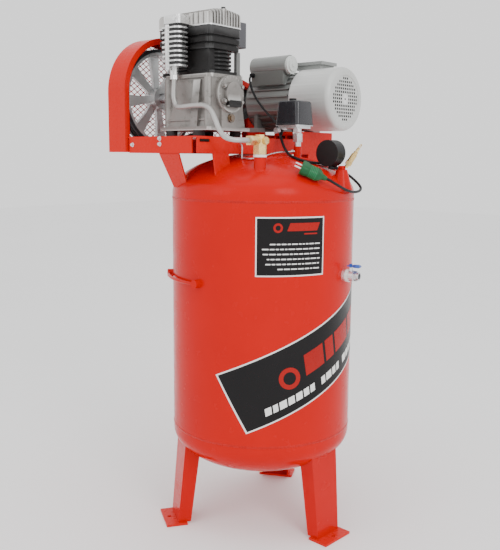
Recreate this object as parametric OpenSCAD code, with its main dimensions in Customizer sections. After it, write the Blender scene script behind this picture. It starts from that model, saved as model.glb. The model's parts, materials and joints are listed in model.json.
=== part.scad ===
/* [Tank] */
// Outside diameter of the tank
tank_d = 500; // [400:1:600]
// Wall thickness of shell and heads
wall = 4; // [3:0.5:8]
// Height of the lower weld seam above the floor
shell_z0 = 280; // [200:1:400]
// Height of the upper weld seam above the floor
shell_z1 = 911; // [700:1:1100]
// Straight flange of the bottom head
flange_low = 18; // [5:1:40]
// Straight flange of the top head
flange_top = 13; // [5:1:40]
// Depth of the curved part of each head
head_depth = 108; // [80:1:140]

/* [Legs] */
// Direction of the first leg, degrees from the shaft direction
leg_turn = -3; // [-30:1:30]
// Web width at the top of a leg
leg_w_top = 106; // [60:1:140]
// Web width at the foot
leg_w_foot = 88; // [50:1:120]
// Side flange depth at the top
leg_f_top = 45; // [20:1:60]
// Side flange depth at the foot
leg_f_foot = 36; // [20:1:60]
// Leg sheet thickness
leg_t = 4; // [3:0.5:6]
// Foot plate thickness
plate_t = 6; // [4:1:12]
// Foot bolt circle diameter
foot_pcd = 540; // [440:1:640]
// Foot bolt hole radius
foot_hole_r = 6; // [4:0.5:9]

/* [Deck] */
// Deck length across the tank
deck_l = 584; // [500:1:700]
// Front edge of the deck
deck_x1 = 27; // [0:1:80]
// Rear edge of the deck
deck_x0 = -224; // [-280:1:-180]
// Height of the deck's top face
deck_z = 1071; // [1040:1:1120]
// Height of the deck's side flanges
deck_h = 42; // [25:1:60]
// Deck sheet thickness
deck_t = 4; // [2:0.5:6]

/* [Pump] */
// Height of the crankshaft axis
crank_z = 1179; // [1140:1:1220]
// Sideways position of the crankshaft axis
crank_y = -153; // [-180:1:-120]
// Flywheel radius
fly_r = 131; // [100:1:160]
// Flywheel and pulley plane
belt_x = -258; // [-280:1:-240]
// Cylinder bore radius
bore_r = 32.5; // [25:0.5:40]
// Distance of the front cylinder from the tank axis
cyl_x1 = -50; // [-80:1:-20]
// Distance of the rear cylinder from the tank axis
cyl_x2 = -140; // [-170:1:-110]
// Cylinder fin radius
fin_r = 50; // [42:1:60]

/* [Motor] */
// Height of the motor axis
motor_z = 1183; // [1150:1:1220]
// Sideways position of the motor axis
motor_y = 196; // [160:1:230]
// Fan cover radius
cover_r = 88; // [70:1:110]
// Front face of the fan cover
cover_x = 136; // [100:1:170]
// Motor pulley radius
pulley_r = 46; // [35:1:60]

/* [Fittings] */
// Height of the outlet valve
outlet_z = 715; // [600:1:800]
// Direction of the outlet valve around the tank
outlet_turn = 8; // [0:1:30]
// Gauge case radius
gauge_r = 34; // [25:1:45]
// Gauge case depth
gauge_depth = 36; // [20:1:45]

/* [Hidden] */
R = tank_d / 2;
zc_low = shell_z0 - flange_low;
zc_top = shell_z1 + flange_top;
motor_r = cover_r - 8;
belt_w = 13;
check_x = 113;
check_y = -151;
riser_x = 85;
riser_y = 42;
sw_x = 78;
sw_y = 36;
stub_x = 229;
stub_y = 44;
gau_x = 206;
gau_y = 25;
gau_z = 1032;
cooler_x = -107;
cooler_y = -228;
head_top = 1391;

red = [0.86, 0.09, 0.06];
alu = [0.74, 0.74, 0.73];
iron = [0.08, 0.08, 0.08];
grey = [0.5, 0.52, 0.5];
brass = [0.75, 0.6, 0.3];
black = [0.05, 0.05, 0.05];

// Half profile of a filled head, curved side up, with its own radius and depth.
module head_profile(r, d) {
  polygon(concat([[0, 0]], [for (i = [0:12]) [r * cos(i * 7.5), d * sin(i * 7.5)]]));
}
module top_solid() {
  translate([0, 0, zc_top]) rotate_extrude($fn = 96) head_profile(R, head_depth);
  translate([0, 0, shell_z0]) cylinder(r = R, h = zc_top - shell_z0, $fn = 96);
}
module low_solid() {
  translate([0, 0, zc_low]) mirror([0, 0, 1]) rotate_extrude($fn = 96) head_profile(R, head_depth);
  translate([0, 0, zc_low]) cylinder(r = R, h = 60, $fn = 96);
}
// A round bar or tube between two heights along the shaft direction.
module xcyl(x0, x1, r, n = 48) {
  translate([x0, 0, 0]) rotate([0, 90, 0]) cylinder(r = r, h = x1 - x0, $fn = n);
}

module tank_shell() color(red)
  difference() {
    translate([0, 0, shell_z0]) cylinder(r = R, h = shell_z1 - shell_z0, $fn = 96);
    translate([0, 0, shell_z0 - 1]) cylinder(r = R - wall, h = shell_z1 - shell_z0 + 2, $fn = 96);
  }
module tank_head_top() color(red)
  difference() {
    union() {
      translate([0, 0, zc_top]) rotate_extrude($fn = 96) head_profile(R, head_depth);
      translate([0, 0, shell_z1]) cylinder(r = R, h = flange_top, $fn = 96);
    }
    translate([0, 0, zc_top]) rotate_extrude($fn = 96) head_profile(R - wall, head_depth - wall);
    translate([0, 0, shell_z1 - 1]) cylinder(r = R - wall, h = flange_top + 1, $fn = 96);
  }
module tank_head_bottom() color(red)
  difference() {
    union() {
      translate([0, 0, zc_low]) mirror([0, 0, 1]) rotate_extrude($fn = 96) head_profile(R, head_depth);
      translate([0, 0, zc_low]) cylinder(r = R, h = flange_low, $fn = 96);
      translate([0, 0, zc_low - head_depth - 12]) cylinder(r = 16, h = 20, $fn = 40);
    }
    translate([0, 0, zc_low]) mirror([0, 0, 1])
      rotate_extrude($fn = 96) head_profile(R - wall, head_depth - wall);
    translate([0, 0, zc_low]) cylinder(r = R - wall, h = flange_low + 1, $fn = 96);
    translate([0, 0, zc_low - head_depth - 13]) cylinder(r = 8, h = 40, $fn = 32);
  }
// One leg: an upright channel with its web outside, cut to the head.
module leg(turn) color(red)
  rotate([0, 0, turn]) difference() {
    union() {
      hull() {
        translate([249, -leg_w_foot / 2, plate_t]) cube([leg_t, leg_w_foot, 1]);
        translate([226, -leg_w_top / 2, 268]) cube([leg_t, leg_w_top, 1]);
      }
      for (s = [-1, 1]) hull() {
        translate([253 - leg_f_foot, s * (leg_w_foot - leg_t) / 2 - leg_t / 2, plate_t])
          cube([leg_f_foot, leg_t, 1]);
        translate([230 - leg_f_top, s * (leg_w_top - leg_t) / 2 - leg_t / 2, 268])
          cube([leg_f_top, leg_t, 1]);
      }
    }
    rotate([0, 0, -turn]) low_solid();
  }
module leg_a() leg(leg_turn);
module leg_b() leg(leg_turn + 120);
module leg_c() leg(leg_turn + 240);
module foot_plates() color(red)
  for (i = [0:2]) rotate([0, 0, leg_turn + 120 * i]) difference() {
    translate([228, -53, 0]) cube([59, 106, plate_t]);
    translate([foot_pcd / 2, 0, -1]) cylinder(r = foot_hole_r, h = plate_t + 2, $fn = 32);
  }

// Folded tray with open corners; its front flange is cut to the dome.
module deck() color(red)
  difference() {
    union() {
      translate([deck_x0, -deck_l / 2, deck_z - deck_t]) cube([deck_x1 - deck_x0, deck_l, deck_t]);
      for (s = [-1, 1]) translate([deck_x0 + 5, s * (deck_l - deck_t) / 2 - deck_t / 2, deck_z - deck_h])
        cube([deck_x1 - deck_x0 - 20, deck_t, deck_h]);
      for (x = [deck_x0, deck_x1 - deck_t]) translate([x, -deck_l / 2 + 5, deck_z - deck_h])
        cube([deck_t, deck_l - 10, deck_h]);
    }
    top_solid();
    for (x = [-130, -30], y = [-222, -84]) translate([x, y, deck_z - 10])
      cylinder(r = 5.5, h = 20, $fn = 32);
  }
// A flat sheet strut: top edge from xa to xb, foot edge from xc to xd, on both long sides.
module deck_struts() color(red)
  difference() {
    union() {
      for (s = [-1, 1]) {
        hull() {
          translate([-108, s * 286 - 2, 1026]) cube([70, 4, 3]);
          translate([-128, s * 216 - 2, 940]) cube([52, 4, 3]);
        }
        hull() {
          translate([23, s * 201 - 29, 1026]) cube([4, 58, 3]);
          translate([23, s * 185 - 29, 940]) cube([4, 58, 3]);
        }
      }
      hull() {
        translate([deck_x0, 32, 1026]) cube([4, 60, 3]);
        translate([deck_x0 + 19, 32, 920]) cube([4, 60, 3]);
      }
    }
    top_solid();
  }
module motor_rails() color(red) {
  for (x = [-130, -30]) difference() {
    union() {
      translate([x - 22, 112, deck_z]) cube([44, 175, 15]);
      for (s = [-1, 1]) translate([x - 22, motor_y + s * 70 - 15, deck_z + 15]) cube([44, 30, 7]);
    }
    translate([x - 18, 100, deck_z - 1]) cube([36, 200, 12]);
    for (s = [-1, 1]) translate([x, motor_y + s * 70, deck_z]) cylinder(r = 5, h = 40, $fn = 32);
  }
  translate([-8, 112, deck_z + 11]) cube([deck_x1 + 4, 178, 4]);
  translate([deck_x1 - 4, 112, deck_z]) cube([4, 178, 22]);
}
// Side outline of the belt guard, inset by d.
module guard_outline(d) {
  hull() {
    translate([-150, 1188]) circle(r = 150 - d, $fn = 72);
    translate([200, 1183]) circle(r = 60 - d, $fn = 48);
    translate([-300 + d, 1031 + d]) square([560 - 2 * d, 10]);
  }
}
module in_belt_plane(x, h) {
  translate([x, 0, 0]) rotate([90, 0, 90]) linear_extrude(height = h) children();
}
module guard_inner() color(red) {
  in_belt_plane(-261, 36) difference() {
    guard_outline(0);
    guard_outline(2);
  }
  in_belt_plane(-227, 2) difference() {
    guard_outline(2);
    guard_outline(16);
  }
}
module guard_rim() color(red) {
  in_belt_plane(-292, 31) difference() {
    guard_outline(0);
    guard_outline(2);
  }
  in_belt_plane(-292, 2) difference() {
    guard_outline(2);
    guard_outline(16);
  }
}
module guard_mesh() color(red)
  in_belt_plane(-289.7, 1.5) difference() {
    guard_outline(2.3);
    for (i = [-8:7], j = [0:7]) if (guard_open(i, j))
      translate([-24 + i * 34, 1060 + j * 36]) diamond();
    for (i = [-8:7], j = [0:7]) if (guard_open(i + 0.5, j + 0.5))
      translate([-7 + i * 34, 1078 + j * 36]) diamond();
  }
// True where a mesh opening lies well inside the guard.
function guard_open(i, j) =
  let (y = -24 + i * 34, z = 1060 + j * 36)
  (z < 1205 && y > -272 && y < 228 && z > 1052) ||
  norm([y + 150, z - 1188]) < 118 ||
  (y > -150 && y < 200 && z < 1286 - (y + 150) * 0.29);
module diamond() polygon([[-13, 0], [0, -14], [13, 0], [0, 14]]);

module grab_bar() color(red)
  difference() {
    union() {
      for (a = [-140, -92]) rotate([0, 0, a]) translate([R - 6, 0, 697]) rotate([0, 90, 0])
        cylinder(r = 11, h = 22, $fn = 40);
      rotate([0, 0, -140]) rotate_extrude(angle = 48, $fn = 96)
        translate([R + 11, 697]) circle(r = 4, $fn = 24);
    }
    translate([0, 0, 600]) cylinder(r = R, h = 200, $fn = 96);
  }

module flywheel() color(alu)
  translate([belt_x, crank_y, crank_z]) rotate([0, 90, 0]) difference() {
    union() {
      rotate_extrude($fn = 96) polygon([
        [115, -17], [fly_r, -17], [fly_r, -8], [fly_r - 9.5, -5.4], [fly_r - 9.5, 5.4],
        [fly_r, 8], [fly_r, 17], [115, 17]]);
      translate([0, 0, -20]) cylinder(r = 30, h = 40, $fn = 64);
      for (i = [0:7]) rotate([0, 0, i * 45 + 7]) translate([0, 0, -7]) linear_extrude(height = 9)
        polygon([[26, -10], [60, -11], [116.5, -19], [116.5, 15], [60, 11], [26, 10]]);
    }
    translate([0, 0, -30]) cylinder(r = 14, h = 60, $fn = 48);
  }
module crankshaft() color(grey)
  translate([0, crank_y, crank_z]) {
    xcyl(-284, -157.5, 14);
    xcyl(-284, -279, 20);
    for (x = [-157.5, -133.5, -69.5, -43.5]) xcyl(x, x + 10, 36);
    translate([0, 0, 22]) xcyl(-147.5, -133.5, 11);
    xcyl(-123.5, -69.5, 14);
    translate([0, 0, -22]) xcyl(-59.5, -43.5, 11);
    xcyl(-33.5, -8, 14);
  }
module piston(x) color(alu)
  translate([x, crank_y, 1256]) difference() {
    cylinder(r = bore_r - 0.05, h = 56, $fn = 64);
    translate([0, 0, -1]) cylinder(r = bore_r - 6, h = 48, $fn = 48);
  }
module pistons_front() piston(cyl_x1);
module pistons_rear() piston(cyl_x2);

module crankcase() color(alu)
  difference() {
    union() {
      translate([0, 0, 1087]) linear_extrude(height = 9) pump_plan(-166, 16, -234, -72, 10);
      in_belt_plane(-156, 160) polygon([[-222, 1096], [-84, 1096], [-92, 1140], [-94, 1219],
        [-210, 1219], [-213, 1140]]);
      translate([0, 0, 1219]) linear_extrude(height = 9) pump_plan(-162, 6, -218, -90, 12);
      for (x = [-150, -8]) translate([x, -212, 1096]) cylinder(r = 11, h = 123, $fn = 40);
      translate([-6, -96, 1096]) cylinder(r = 9, h = 123, $fn = 40);
      in_belt_plane(-56, 24) polygon([[-206, 1214], [-215, 1214], [-224, 1150], [-229, 1096],
        [-206, 1096]]);
      translate([-150, -222, 1112]) cube([146, 12, 4]);
      translate([0, crank_y, crank_z]) xcyl(-172, -156, 48, 64);
      translate([0, crank_y, crank_z]) xcyl(4, 12, 47, 64);
      translate([0, crank_y, 1096]) translate([4, -30, 0]) cube([8, 60, 46]);
      translate([0, crank_y, crank_z]) xcyl(-192, -170, 30);
    }
    translate([0, crank_y, crank_z]) xcyl(-158, 2, 47, 64);
    translate([0, crank_y, crank_z]) xcyl(-220, 4, 14.06, 48);
    for (x = [cyl_x1, cyl_x2]) translate([x, crank_y, 1185]) cylinder(r = bore_r + 1, h = 60, $fn = 64);
    translate([11, crank_y + 4, 1119]) rotate([0, 90, 0]) cylinder(r = 11.5, h = 5, $fn = 40);
  }
module front_cover() color(alu)
  translate([0, crank_y, crank_z]) difference() {
    union() {
      xcyl(12, 20, 46, 64);
      xcyl(20, 29, 30, 64);
      for (a = [30, 150, 210, 330]) rotate([a, 0, 0]) translate([0, 38, 0]) {
        xcyl(20, 25, 7, 32);
        xcyl(25, 29, 4.5, 24);
      }
      translate([20, -23, -32]) cube([12, 46, 15]);
    }
    xcyl(11, 16, 28, 48);
  }
module sight_glass() color([0.25, 0.2, 0.12])
  translate([11, crank_y + 4, 1119]) rotate([0, 90, 0]) {
    cylinder(r = 11, h = 6, $fn = 40);
    cylinder(r = 7, h = 9, $fn = 32);
  }
module pump_feet() color(iron)
  for (x = [-130, -30], y = [-222, -84]) {
    translate([x, y, deck_z]) cylinder(r = 15, h = 16, $fn = 32);
    translate([x, y, deck_z - 14]) cylinder(r = 5, h = 15, $fn = 32);
    translate([x, y, deck_z - deck_t - 8]) cylinder(r = 9, h = 8, $fn = 6);
  }

// Long rounded plate around both cylinders.
module pump_plan(x0, x1, y0, y1, r) {
  translate([x0 + r, y0]) square([x1 - x0 - 2 * r, y1 - y0]);
  translate([x0, y0 + r]) square([x1 - x0, y1 - y0 - 2 * r]);
  for (x = [x0 + r, x1 - r], y = [y0 + r, y1 - r]) translate([x, y]) circle(r = r, $fn = 40);
}
module fin_plan(r) {
  for (x = [cyl_x1, cyl_x2]) translate([x, crank_y]) circle(r = r, $fn = 64);
  translate([cyl_x2, crank_y - r + 3]) square([cyl_x1 - cyl_x2, 2 * r - 6]);
}
module cylinder_block() color(iron)
  difference() {
    union() {
      translate([0, 0, 1228]) linear_extrude(height = 9) pump_plan(-188, -2, -205, -101, 12);
      translate([0, 0, 1237]) linear_extrude(height = 53) fin_plan(40);
      for (i = [0:4]) translate([0, 0, 1241.5 + i * 10]) linear_extrude(height = 4) fin_plan(fin_r);
      translate([-84, -206, 1237]) cube([72, 22, 53]);
      translate([0, 0, 1290]) linear_extrude(height = 11) pump_plan(-188, -2, -212, -93, 16);
      translate([0, 0, 1301]) linear_extrude(height = 5) pump_plan(-184, -6, -208, -97, 14);
      translate([0, 0, 1306]) linear_extrude(height = 12) pump_plan(-190, 0, -214, -91, 16);
      translate([0, 0, 1318]) linear_extrude(height = 6) pump_plan(-184, -6, -208, -97, 14);
      translate([0, 0, 1324]) linear_extrude(height = 22) pump_plan(-190, 0, -214, -91, 16);
    }
    for (x = [cyl_x1, cyl_x2]) translate([x, crank_y, 1220]) cylinder(r = bore_r, h = 140, $fn = 64);
  }
module valve_plate() color(alu)
  translate([0, 0, 1346]) linear_extrude(height = 3) pump_plan(-192, 2, -216, -89, 16);
module cylinder_head() color(alu) {
  translate([0, 0, 1349]) linear_extrude(height = 17) pump_plan(-182, -8, -205, -99, 12);
  for (i = [0:10]) let (h = 42 - (i < 5 ? 9 : 5) * pow((i - 5) / 5, 2))
    translate([0, -204 + i * 10.5, 1349]) rotate([90, 0, 0]) linear_extrude(height = 4) head_fin(h);
  for (x = [-16, -34, -52, -70]) translate([x, -207, 1349]) cylinder(r = 8, h = 29, $fn = 32);
  for (x = [-178, -95, -12]) translate([x, -151.5, 1349]) cylinder(r = 9, h = head_top - 1349, $fn = 32);
}
// Side outline of one head fin, its upper corners round.
module head_fin(h) {
  polygon(concat([[-190, 0], [0, 0]],
    [for (a = [0:15:90]) [-12 + 12 * cos(a), h - 12 + 12 * sin(a)]],
    [for (a = [90:15:180]) [-178 + 12 * cos(a), h - 12 + 12 * sin(a)]]));
}
module pump_bolts() color(iron)
  for (x = [-178, -95, -12]) translate([x, -151.5, head_top]) cylinder(r = 6, h = 5, $fn = 6);
module aftercooler() color(alu) {
  for (i = [0:8]) translate([0, 0, 1246 + i * 11.6])
    linear_extrude(height = 4) pump_plan(-131, -64, -262, -218, 15);
  translate([cooler_x, cooler_y - 6, 1228]) cylinder(r = 12, h = 122, $fn = 48);
  translate([0, 0, 1350]) linear_extrude(height = 21) pump_plan(-121, -64, -260, -216, 8);
  translate([cooler_x, cooler_y - 6, 1216]) cylinder(r = 10, h = 12, $fn = 6);
  translate([-75, -260, 1361]) rotate([90, 0, 0]) cylinder(r = 6, h = 5, $fn = 6);
}
module air_filter() color([0.22, 0.23, 0.24])
  translate([0, 0, 1308]) difference() {
    linear_extrude(height = 64) pump_plan(-110, -28, -89, -36, 12);
    for (i = [0:5]) translate([-98 + i * 12, -38, 8]) cube([5, 4, 48]);
  }
module breather_pipe() color([0.4, 0.4, 0.39])
  translate([-20, -89, 0]) {
    translate([0, 0, 1228]) cylinder(r = 11, h = 5, $fn = 32);
    translate([0, 0, 1228]) cylinder(r = 8, h = 62, $fn = 32);
  }

// A bent round pipe: straight rods with round joints between them.
module bent(p, r, n = 12) {
  for (i = [0:len(p) - 2]) let (v = p[i + 1] - p[i], l = norm(v))
    translate(p[i]) rotate([0, acos(v[2] / l), atan2(v[1], v[0])]) cylinder(r = r, h = l, $fn = n);
  for (i = [1:len(p) - 2]) translate(p[i]) sphere(r = r, $fn = n);
}

module delivery_pipe() color(alu)
  bent([[cooler_x, cooler_y - 6, 1216], [cooler_x, cooler_y - 8, 1172], [-100, -234, 1152], [-84, -238, 1146],
    [-30, -238, 1148], [6, -240, 1146], [30, -243, 1134], [52, -250, 1110], [70, -255, 1086],
    [86, -253, 1069], [100, -240, 1062], [112, -222, 1061], [113, -196, 1061]], 6.5, 12);

// Closed loop belt: two runs and two wraps, one V section all round.
module belt_outline(d) {
  hull() {
    translate([crank_y, crank_z]) circle(r = fly_r - 1.2 - d, $fn = 96);
    translate([motor_y, motor_z]) circle(r = pulley_r - 1.2 - d, $fn = 64);
  }
}
module v_belt() color(black)
  in_belt_plane(belt_x - 4, 8) difference() {
    belt_outline(0);
    belt_outline(7.5);
  }

module motor_body() color(grey)
  translate([0, motor_y, motor_z]) difference() {
    union() {
      xcyl(-165, -2, motor_r, 96);
      for (a = [0:13.8462:359]) rotate([a, 0, 0]) translate([-158, -2, motor_r - 3])
        cube([150, 4, a < 52 || a > 305 ? 5 : 10]);
      for (x = [-130, -30], s = [-1, 1]) {
        translate([x - 17, s * 70 - 17, 22.3 - motor_z + deck_z]) cube([34, 34, 12]);
        translate([x - 6, s * 62 - 14, 22.3 - motor_z + deck_z]) cube([12, 28, 50]);
      }
    }
    xcyl(-160, 1, motor_r - 8, 96);
    xcyl(-170, -150, 40, 64);
    for (x = [-130, -30], s = [-1, 1]) translate([x, s * 70, -120]) cylinder(r = 5, h = 60, $fn = 32);
  }
module end_shield() color([0.3, 0.31, 0.3])
  translate([0, motor_y, motor_z]) rotate([0, 90, 0]) difference() {
    rotate_extrude($fn = 96) polygon([[0, -200], [34, -200], [42, -192], [76, -170], [82, -165],
      [40, -165], [30, -180], [0, -180]]);
    translate([0, 0, -210]) cylinder(r = 12.06, h = 60, $fn = 48);
  }
module fan_cover() color([0.7, 0.7, 0.69])
  translate([0, motor_y, motor_z]) rotate([90, 0, 90]) difference() {
    rotate_extrude($fn = 96) polygon(concat(
      [[cover_r - 2, 0], [cover_r, 0]],
      [for (a = [0:15:90]) [cover_r - 14 + 14 * cos(a), cover_x - 14 + 14 * sin(a)]],
      [[66, cover_x], [64, cover_x - 3], [0, cover_x - 3], [0, cover_x - 5], [66, cover_x - 5]],
      [for (a = [90:-15:0]) [cover_r - 14 + 12 * cos(a), cover_x - 14 + 12 * sin(a)]]));
    translate([0, 0, cover_x - 8]) linear_extrude(height = 10) cover_holes();
  }
module cover_holes() {
  for (i = [-6:6], j = [-6:6]) if (norm([i, j]) < 6.1 && norm([i, j]) > 1.5)
    translate([i * 9.4 - 3, j * 9.4 - 3]) square(6);
  circle(r = 3, $fn = 24);
}
module motor_fan() color(black)
  translate([0, motor_y, motor_z]) rotate([0, 90, 0]) difference() {
    union() {
      translate([0, 0, 40]) cylinder(r = 22, h = 34, $fn = 48);
      translate([0, 0, 40]) cylinder(r = 70, h = 3, $fn = 64);
      for (i = [0:7]) rotate([0, 0, i * 45]) translate([18, -1.5, 43]) cube([50, 3, 30]);
    }
    translate([0, 0, 30]) cylinder(r = 10, h = 60, $fn = 48);
  }
module motor_shaft() color([0.6, 0.6, 0.6])
  translate([0, motor_y, motor_z]) {
    xcyl(-278, -160, 12);
    xcyl(-160, -20, 48, 64);
    xcyl(-20, 74, 10);
  }
module motor_pulley() color(iron)
  translate([belt_x, motor_y, motor_z]) rotate([0, 90, 0]) difference() {
    rotate_extrude($fn = 72) polygon([[12, -15], [pulley_r, -15], [pulley_r, -8], [pulley_r - 11, -5],
      [pulley_r - 11, 5], [pulley_r, 8], [pulley_r, 15], [24, 15], [24, 20], [12, 20]]);
  }
module capacitor_box() color(grey)
  difference() {
    union() {
      translate([0, 128, 1279]) xcyl(-138, -10, 28, 64);
      translate([-134, 104, 1225]) cube([116, 50, 50]);
    }
    translate([0, motor_y, motor_z]) xcyl(-170, 10, cover_r + 0.3, 96);
  }
module capacitor_cap() color([0.85, 0.86, 0.84])
  translate([0, 128, 1279]) {
    xcyl(-10, -3, 25, 64);
    xcyl(-3, 1, 18, 48);
    xcyl(1, 3, 6, 32);
  }
module terminal_box() color(grey)
  difference() {
    union() {
      translate([-40, 186, 1230]) cube([92, 68, 52]);
      translate([-44, 182, 1282]) cube([104, 76, 9]);
    }
    translate([0, motor_y, motor_z]) xcyl(-60, 80, cover_r + 0.3, 96);
  }

module check_valve() color(brass)
  difference() {
    union() {
      difference() {
        translate([check_x, check_y, 960]) cylinder(r = 14, h = 62, $fn = 40);
        top_solid();
      }
      translate([check_x, check_y, 1022]) cylinder(r = 15, h = 5, $fn = 48);
      translate([check_x, check_y, 1027]) cylinder(r = 18, h = 25, $fn = 6);
      translate([check_x, check_y, 1052]) cylinder(r = 15, h = 18, $fn = 48);
      translate([check_x, check_y, 1070]) cylinder(r = 12, h = 6, $fn = 6);
      translate([check_x, check_y, 1061]) rotate([90, 0, 0]) cylinder(r = 11, h = 26, $fn = 48);
      translate([check_x, check_y - 26, 1061]) rotate([90, 0, 0]) cylinder(r = 13, h = 19, $fn = 6);
      translate([check_x + 8, check_y, 1061]) rotate([0, 90, 0]) cylinder(r = 10, h = 14, $fn = 6);
    }
    translate([check_x, check_y, 950]) cylinder(r = 7, h = 75, $fn = 32);
    translate([check_x, check_y, 1024]) cylinder(r = 10, h = 40, $fn = 48);
    translate([check_x, check_y + 1, 1061]) rotate([90, 0, 0]) cylinder(r = 6.8, h = 60, $fn = 32);
  }
module check_disc() color(black)
  translate([check_x, check_y, 1038]) cylinder(r = 9.7, h = 6, $fn = 40);
module unloader_tube() color([0.8, 0.8, 0.78])
  bent([[check_x - 14.7, check_y, 1058], [60, check_y, 1058], [37, -140, 1056], [35, -130, 1046],
    [35, -130, 1018.2], [44, -130, 1018], [71, -122, 1017], [76, -40, 1032], [82, 20, 1036],
    [84, 29, 1037]], 2.2, 10);

module switch_riser() color([0.8, 0.8, 0.78])
  difference() {
    union() {
      translate([riser_x, riser_y, 1000]) cylinder(r = 9, h = 62, $fn = 40);
      translate([riser_x, riser_y, 1062]) cylinder(r = 14, h = 22, $fn = 6);
      translate([riser_x, riser_y, 1084]) cylinder(r = 10, h = 13, $fn = 40);
      translate([riser_x - 13, riser_y - 13, 1037]) rotate([0, 0, 45]) rotate([0, 90, 0])
        cylinder(r = 5, h = 12, $fn = 6);
    }
    top_solid();
  }
// Rounded block that tapers upward.
module taper(w, d, h, r, k) {
  linear_extrude(height = h, scale = k) translate([-w / 2, -d / 2]) pump_plan(0, w, 0, d, r);
}
module switch_base() color([0.7, 0.7, 0.7])
  translate([sw_x, sw_y, 1097]) difference() {
    union() {
      translate([-34, -31, 0]) linear_extrude(height = 7) pump_plan(0, 68, 0, 62, 6);
      translate([-39, -36, 7]) linear_extrude(height = 2) pump_plan(0, 78, 0, 72, 8);
      translate([-34, -20, -2]) cube([8, 20, 6]);
      for (x = [-36, 31]) translate([x, -24, -5]) rotate([90, 0, 0]) cylinder(r = 8, h = 12, $fn = 24);
      translate([-4, -4, 9]) cylinder(r = 10, h = 30, $fn = 32);
    }
    translate([-4, -4, 20]) cylinder(r = 4.05, h = 30, $fn = 32);
  }
module switch_cover() color([0.14, 0.14, 0.16])
  translate([sw_x, sw_y, 1106]) difference() {
    taper(80, 74, 64, 9, 0.86);
    translate([0, 0, -1]) taper(76, 70, 62, 7, 0.86);
    translate([-4, -4, 50]) cylinder(r = 8.4, h = 30, $fn = 40);
  }
module switch_knob() color([0.1, 0.1, 0.1])
  translate([sw_x - 4, sw_y - 4, 0]) {
    translate([0, 0, 1131]) cylinder(r = 4, h = 36, $fn = 32);
    translate([0, 0, 1164]) cylinder(r = 8, h = 8, $fn = 40);
    translate([0, 0, 1172]) cylinder(r = 10, h = 5, $fn = 40);
  }
module motor_cable() color(black)
  swept(cable, 3.2, 8);

module gauge_stub() color(red)
  difference() {
    union() {
      difference() {
        translate([stub_x, stub_y, 938]) cylinder(r1 = 29, r2 = 14, h = 52, $fn = 48);
        top_solid();
        translate([0, 0, 850]) cylinder(r = R, h = 80, $fn = 96);
      }
      translate([stub_x, stub_y, 990]) cylinder(r = 11, h = 10, $fn = 6);
    }
    translate([stub_x, stub_y, 992]) cylinder(r = 6.2, h = 10, $fn = 32);
    lean() cylinder(r = 5.02, h = 9, $fn = 32);
  }
module gauge_case() color(black)
  difference() {
    union() {
      translate([gau_x, gau_y - gauge_depth / 2, gau_z]) rotate([-90, 0, 0])
        cylinder(r = gauge_r, h = gauge_depth, $fn = 72);
      translate([gau_x, gau_y, gau_z - gauge_r - 7]) cylinder(r = 6, h = 12, $fn = 32);
      bent([[gau_x, gau_y, gau_z - gauge_r - 4], [gau_x + 6, gau_y + 6, 994],
        [stub_x - 9.2, stub_y - 8, 994.5]], 4.6, 12);
    }
    translate([gau_x, gau_y - gauge_depth / 2 + 3, gau_z]) rotate([-90, 0, 0])
      cylinder(r = gauge_r - 3, h = gauge_depth + 4, $fn = 72);
  }
module gauge_dial() color([0.92, 0.92, 0.9])
  translate([gau_x, gau_y - 2, gau_z]) rotate([-90, 0, 0]) {
    cylinder(r = gauge_r - 3.1, h = 2, $fn = 72);
    for (i = [0:10]) rotate([0, 0, 135 + i * 27]) translate([22, -0.6, 2]) cube([6, 1.2, 0.5]);
  }
module gauge_needle() color(black)
  translate([gau_x, gau_y - 0.3, gau_z]) rotate([-90, 0, 0]) {
    translate([0, 0, 1.2]) cylinder(r = 4, h = 4, $fn = 32);
    rotate([0, 0, 135]) translate([-7, -1, 2.2]) cube([31, 2, 1]);
  }
// Safety valve: leans outward from the stub's top.
module lean() {
  translate([stub_x + 11, stub_y + 2, 996]) rotate([0, 35, outlet_turn + 3]) children();
}
module safety_valve() color(brass)
  lean() {
    translate([0, 0, 0.5]) cylinder(r = 5, h = 8, $fn = 32);
    translate([0, 0, 8.5]) cylinder(r = 9, h = 10, $fn = 6);
    translate([0, 0, 18.5]) cylinder(r = 7.5, h = 22, $fn = 40);
    translate([0, 0, 40.5]) cylinder(r = 5.5, h = 8, $fn = 32);
    translate([0, 0, 48.5]) cylinder(r = 1.95, h = 8, $fn = 32);
  }
module safety_ring() color(brass)
  lean() {
    difference() {
      translate([0, 0, 49.5]) cylinder(r = 4, h = 10, $fn = 32);
      translate([0, 0, 48]) cylinder(r = 2, h = 9.5, $fn = 32);
    }
    translate([0, 0, 65]) rotate([0, 90, 0]) rotate_extrude($fn = 40)
      translate([6.5, 0]) circle(r = 1.1, $fn = 12);
  }

module at_outlet() {
  rotate([0, 0, outlet_turn]) translate([0, 0, outlet_z]) rotate([0, 90, 0]) children();
}
module outlet_valve() color(brass)
  at_outlet() difference() {
    union() {
      translate([0, 0, R + 0.3]) cylinder(r = 15, h = 8, $fn = 48);
      translate([0, 0, R + 8.3]) cylinder(r = 14, h = 3, $fn = 6);
      translate([0, 0, R + 11.3]) cylinder(r = 14.5, h = 20, $fn = 48);
      translate([0, 0, R + 31.3]) cylinder(r = 13.5, h = 9, $fn = 6);
      translate([0, 0, R + 40.3]) cylinder(r = 11, h = 6, $fn = 48);
      translate([-14, 0, R + 21.3]) rotate([0, -90, 0]) cylinder(r = 6, h = 8, $fn = 40);
    }
    translate([0, 0, R - 1]) cylinder(r = 6, h = 90, $fn = 40);
    translate([0, 0, R + 31.3]) cylinder(r = 8, h = 40, $fn = 40);
    translate([0, 0, R + 21.3]) sphere(r = 9.2, $fn = 48);
    translate([0, 0, R + 21.3]) rotate([0, -90, 0]) cylinder(r = 3.05, h = 40, $fn = 40);
  }
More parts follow.
